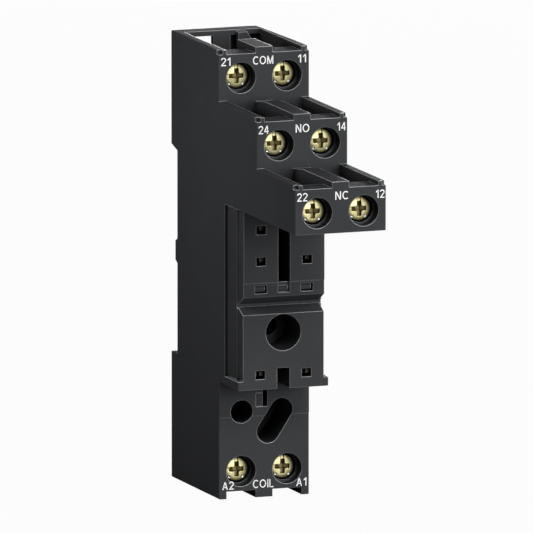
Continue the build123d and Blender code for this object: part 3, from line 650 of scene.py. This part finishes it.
def add_spring():
    """The foot's spring on its peg, made at rest and carried by the socket's body; in the real socket
    it closes as the foot is let down.
    """
    low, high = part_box("foot_spring")
    coil_radius = (high.x - low.x) / 2 - WIRE_RADIUS
    height = high.z - low.z
    surface = coil_surface(coil_radius, height - 2 * WIRE_RADIUS)
    start = ((low.x + high.x) / 2, (low.y + high.y) / 2, low.z + WIRE_RADIUS)
    piece = add_grid("spring_coil", surface + start, spring_wire)
    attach(piece, "socket")
    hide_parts("foot_spring")
    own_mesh(piece)


add_spring()


# Printed marks: word, face, middle across, middle level and width, in millimetres
MARKS = [
    ("21", "rear", -7.03, 76.49, 1.76),
    ("COM", "rear", -0.18, 76.44, 3.74),
    ("11", "rear", 6.94, 76.36, 1.54),
    ("24", "middle", -7.05, 67.52, 1.86),
    ("NO", "middle", 0.06, 67.44, 2.51),
    ("14", "middle", 7.17, 67.37, 1.63),
    ("22", "front", -6.99, 58.77, 1.86),
    ("NC", "front", 0.21, 58.70, 2.37),
    ("12", "front", 7.17, 58.60, 1.62),
    ("A2", "coil", -6.64, 2.35, 2.08),
    ("COIL", "coil", -0.17, 2.34, 3.79),
    ("A1", "coil", 6.86, 2.24, 1.88),
]
MARK_HEIGHT = 1.45 * MM
INK_THICKNESS = 0.02 * MM
STROKE = 0.125
LETTER_GAP = 0.16
ARC_STEPS = 33


def bar(start_across, start_up, end_across, end_up):
    """Both sides of a straight stroke whose ends are cut level, or upright if it lies."""
    run = (end_across - start_across, end_up - start_up)
    length = math.hypot(*run)
    if abs(run[1]) >= abs(run[0]):
        aside = np.array([STROKE / 2 * length / abs(run[1]), 0.0])
    else:
        aside = np.array([0.0, STROKE / 2 * length / abs(run[0])])
    ends = np.array([[start_across, start_up], [end_across, end_up]])
    return ends - aside, ends + aside


def arc(middle, radii, start, end):
    """Both sides of a stroke along a part of an ellipse, from start to end in degrees."""
    angle = np.radians(np.linspace(start, end, ARC_STEPS))
    outward = np.stack([np.cos(angle), np.sin(angle)], axis=1)
    line = np.array(middle) + outward * np.array(radii)
    return line - outward * STROKE / 2, line + outward * STROKE / 2


# Strokes and width of each sign, for a height of 1
EDGE = STROKE / 2
SIGNS = {
    "1": ([bar(0.33, 0.0, 0.33, 1.0), bar(0.06, 0.70, 0.30, 0.92)], 0.40),
    "2": (
        [
            arc((0.31, 0.70), (0.245, 0.232), 172, -38),
            bar(0.52, 0.58, 0.10, 0.10),
            bar(0.02, EDGE, 0.60, EDGE),
        ],
        0.60,
    ),
    "4": (
        [bar(0.44, 0.0, 0.44, 1.0), bar(0.40, 0.97, 0.07, 0.32), bar(0.0, 0.29, 0.62, 0.29)],
        0.62,
    ),
    "A": (
        [bar(0.07, 0.0, 0.36, 1.0), bar(0.65, 0.0, 0.36, 1.0), bar(0.17, 0.31, 0.55, 0.31)],
        0.72,
    ),
    "C": ([arc((0.42, 0.50), (0.345, 0.435), 48, 312)], 0.72),
    "I": ([bar(EDGE, 0.0, EDGE, 1.0)], STROKE),
    "L": ([bar(EDGE, 0.0, EDGE, 1.0), bar(EDGE, EDGE, 0.52, EDGE)], 0.52),
    "M": (
        [
            bar(EDGE, 0.0, EDGE, 1.0),
            bar(0.09, 1.0, 0.40, 0.0),
            bar(0.71, 1.0, 0.40, 0.0),
            bar(0.80 - EDGE, 0.0, 0.80 - EDGE, 1.0),
        ],
        0.80,
    ),
    "N": (
        [bar(EDGE, 0.0, EDGE, 1.0), bar(0.09, 1.0, 0.59, 0.0), bar(0.68 - EDGE, 0.0, 0.68 - EDGE, 1.0)],
        0.68,
    ),
    "O": ([arc((0.42, 0.50), (0.35, 0.435), 0, 360)], 0.84),
}


def add_mark(word, face, middle, level, width):
    """A printed word on one of the front faces: each stroke is a thin slab, as long as its
    strip of points between the stroke's two sides."""
    points = []
    faces = []
    count = 0
    start = 0.0
    for letter in word:
        strokes, letter_width = SIGNS[letter]
        for one_side, other_side in strokes:
            steps = len(one_side)
            flat = np.concatenate([one_side, other_side]) + (start, 0.0)
            points.append(np.column_stack([flat, np.zeros(2 * steps)]))
            points.append(np.column_stack([flat, np.ones(2 * steps)]))
            near = count + np.arange(steps - 1)
            far = near + steps
            lift = 2 * steps
            faces.append(np.stack([near, near + 1, far + 1, far], axis=1))
            faces.append(np.stack([near, near + 1, far + 1, far], axis=1) + lift)
            for row in (near, far):
                faces.append(np.stack([row, row + 1, row + 1 + lift, row + lift], axis=1))
            for cut in (count, count + steps - 1):
                faces.append(np.array([[cut, cut + steps, cut + steps + lift, cut + lift]]))
            count += 4 * steps
        start += letter_width + LETTER_GAP
    points = np.concatenate(points)
    total = start - LETTER_GAP
    front = depth_y(FACE_DEPTHS[face])
    placed = np.stack([
        (middle + (points[:, 0] / total - 0.5) * width) * MM,
        front + INK_THICKNESS * (0.2 - points[:, 2]),
        level_z(level * MM) + (points[:, 1] - 0.5) * MARK_HEIGHT,
    ], axis=-1)
    name = "mark_" + word.lower()
    mesh = bpy.data.meshes.new(name)
    mesh.from_pydata(placed.tolist(), [], np.concatenate(faces).tolist())
    shell = bmesh.new()
    shell.from_mesh(mesh)
    bmesh.ops.remove_doubles(shell, verts=shell.verts, dist=1e-8)
    bmesh.ops.recalc_face_normals(shell, faces=shell.faces)
    shell.to_mesh(mesh)
    shell.free()
    mesh.materials.append(white_ink)
    piece = bpy.data.objects.new(name, mesh)
    bpy.context.scene.collection.objects.link(piece)
    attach(piece, "socket")


for mark in MARKS:
    add_mark(*mark)


# Studio: white floor, a room that is bright in front and on the right, and lamps

FLOOR_GREY = 0.2
FLOOR_WHITE_SHARE = 0.97
BRIGHT_DIRECTION = (0.55, -0.80, 0.20)
ROOM_TURN = -0.1
ROOM_LEVELS = (0.012, 0.36)

# Lamps: name, place, width and power
LAMPS = [
    ("front_lamp", (0.34, -0.86, 0.12), 0.45, 7.0),
    ("glint_lamp", (0.13, -0.90, 0.05), 0.40, 1.35),
    ("upper_lamp", (0.12, -0.70, 0.52), 0.25, 3.0),
    ("left_lamp", (-0.085, -0.025, 0.045), 0.04, 0.042),
    ("back_lamp", (0.45, 0.75, 0.02), 0.40, 10.0),
]
# A lamp whose own image would lie on the glossy edges
UNREFLECTED_LAMP = "front_lamp"


def background_rays(tree):
    """1 for rays that see the background: to the eye, in a reflection or through glass."""
    path = tree.nodes.new("ShaderNodeLightPath")
    direct = math_node(tree, "MAXIMUM", path.outputs["Is Camera Ray"], path.outputs["Is Glossy Ray"])
    return math_node(tree, "MAXIMUM", direct, path.outputs["Is Transmission Ray"])


def make_floor():
    """A wide white floor under the socket that shows white to the eye and keeps the shadow."""
    half = 3.0
    level = cad_box[0][2]
    mesh = bpy.data.meshes.new("floor")
    corners = [(-half, -half, level), (half, -half, level), (half, half, level), (-half, half, level)]
    mesh.from_pydata(corners, [], [(0, 1, 2, 3)])
    material = bpy.data.materials.new("floor_paper")
    material.use_nodes = True
    tree = material.node_tree
    shader = tree.nodes["Principled BSDF"]
    shader.inputs["Base Color"].default_value = (FLOOR_GREY, FLOOR_GREY, FLOOR_GREY, 1.0)
    shader.inputs["Roughness"].default_value = 0.9
    shader.inputs["Specular IOR Level"].default_value = 0.0
    white = tree.nodes.new("ShaderNodeEmission")
    white.inputs["Color"].default_value = (1.0, 1.0, 1.0, 1.0)
    white.inputs["Strength"].default_value = 1.0
    share = math_node(tree, "MULTIPLY", background_rays(tree), FLOOR_WHITE_SHARE)
    mix = tree.nodes.new("ShaderNodeMixShader")
    tree.links.new(share, mix.inputs["Fac"])
    tree.links.new(shader.outputs["BSDF"], mix.inputs[1])
    tree.links.new(white.outputs["Emission"], mix.inputs[2])
    tree.links.new(mix.outputs["Shader"], tree.nodes["Material Output"].inputs["Surface"])
    mesh.materials.append(material)
    floor = bpy.data.objects.new("floor", mesh)
    bpy.context.scene.collection.objects.link(floor)


def make_room():
    """The room round the socket: white to the eye, and for its light a brightness that grows
    towards the front, the right and above."""
    world = bpy.data.worlds.new("room")
    bpy.context.scene.world = world
    world.use_nodes = True
    tree = world.node_tree
    tree.nodes.clear()
    place = tree.nodes.new("ShaderNodeTexCoord")
    bright_side = tree.nodes.new("ShaderNodeVectorMath")
    bright_side.operation = "DOT_PRODUCT"
    bright_side.inputs[1].default_value = Vector(BRIGHT_DIRECTION).normalized()
    tree.links.new(place.outputs["Generated"], bright_side.inputs[0])
    level = map_range(tree, bright_side.outputs["Value"], ROOM_TURN, 1.0, *ROOM_LEVELS)
    light = tree.nodes.new("ShaderNodeBackground")
    light.inputs["Color"].default_value = (1.0, 1.0, 1.0, 1.0)
    tree.links.new(level, light.inputs["Strength"])
    white = tree.nodes.new("ShaderNodeBackground")
    white.inputs["Color"].default_value = (1.0, 1.0, 1.0, 1.0)
    mix = tree.nodes.new("ShaderNodeMixShader")
    tree.links.new(background_rays(tree), mix.inputs["Fac"])
    tree.links.new(light.outputs["Background"], mix.inputs[1])
    tree.links.new(white.outputs["Background"], mix.inputs[2])
    output = tree.nodes.new("ShaderNodeOutputWorld")
    tree.links.new(mix.outputs["Shader"], output.inputs["Surface"])


def add_lamp(name, place, size, power):
    """A square soft box at place that faces the socket."""
    lamp = bpy.data.lights.new(name, "AREA")
    lamp.shape = "SQUARE"
    lamp.size = size
    lamp.energy = power
    holder = bpy.data.objects.new(name, lamp)
    holder.location = place
    holder.rotation_mode = "QUATERNION"
    holder.rotation_quaternion = (Vector(place) - SIGHT_POINT).to_track_quat("Z", "Y")
    bpy.context.scene.collection.objects.link(holder)
    return holder


def make_camera():
    """The photograph's view: the sight point falls on its pixel, at the photograph's scale."""
    azimuth = math.radians(CAMERA_AZIMUTH)
    elevation = math.radians(CAMERA_ELEVATION)
    back = Vector((
        math.sin(azimuth) * math.cos(elevation),
        -math.cos(azimuth) * math.cos(elevation),
        math.sin(elevation),
    ))
    turn = back.to_track_quat("Z", "Y")
    right = turn @ Vector((1.0, 0.0, 0.0))
    up = turn @ Vector((0.0, 1.0, 0.0))
    half = PIXELS_ACROSS / 2
    aside = (half - SIGHT_PIXEL[0]) / PIXELS_PER_METRE
    above = (SIGHT_PIXEL[1] - half) / PIXELS_PER_METRE
    data = bpy.data.cameras.new("camera")
    data.sensor_width = 36.0
    data.lens = data.sensor_width * PIXELS_PER_METRE * CAMERA_DISTANCE / PIXELS_ACROSS
    data.clip_start = 0.1
    data.clip_end = 50.0
    camera = bpy.data.objects.new("camera", data)
    camera.rotation_mode = "QUATERNION"
    camera.rotation_quaternion = turn
    camera.location = SIGHT_POINT + back * CAMERA_DISTANCE + right * aside + up * above
    bpy.context.scene.collection.objects.link(camera)
    bpy.context.scene.camera = camera


make_floor()
make_room()
make_camera()
for name, place, size, power in LAMPS:
    holder = add_lamp(name, place, size, power)
    holder.visible_glossy = name != UNREFLECTED_LAMP
bpy.context.scene.view_settings.view_transform = "Standard"
